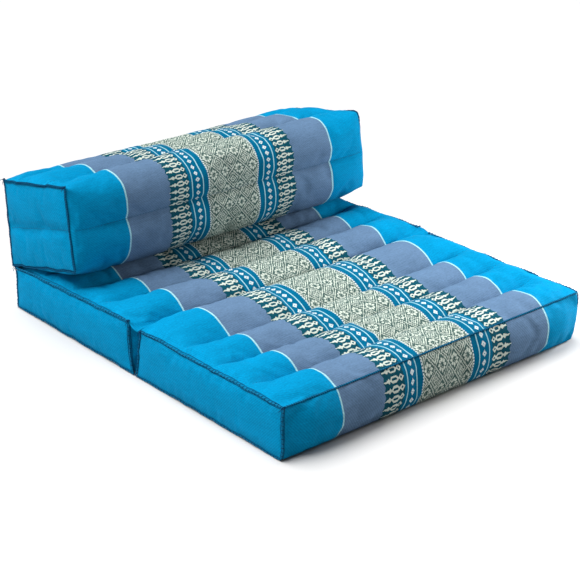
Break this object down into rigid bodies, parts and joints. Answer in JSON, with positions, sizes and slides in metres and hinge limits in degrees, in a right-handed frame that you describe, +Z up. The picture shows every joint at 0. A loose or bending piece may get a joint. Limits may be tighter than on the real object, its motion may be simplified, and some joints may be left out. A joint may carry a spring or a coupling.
{
  "type": "thai folding meditation cushion",
  "caption": "Folding floor cushion of two low channelled seat blocks joined by a cloth hinge, with a thick channelled bolster folded over onto the rear block.",
  "frame": {"origin": "middle of the footprint, on the floor under the seat", "axes": "+X along the sewn channels from one end panel to the other, +Y from the seat's front edge towards the bolster, +Z up"},
  "size_m": [0.658, 0.7632, 0.2722],
  "materials": {
    "woven_cover": "woven cotton in blue, blue-grey and patterned bands, soft satin sheen",
    "hinge_cloth": "plain and banded woven cotton, matt"
  },
  "bodies": {
    "root": {"front_block": "woven_cover", "back_block": "woven_cover", "bolster": "woven_cover", "front_hinge": "hinge_cloth", "back_hinge": "hinge_cloth"}
  },
  "joints": []
}
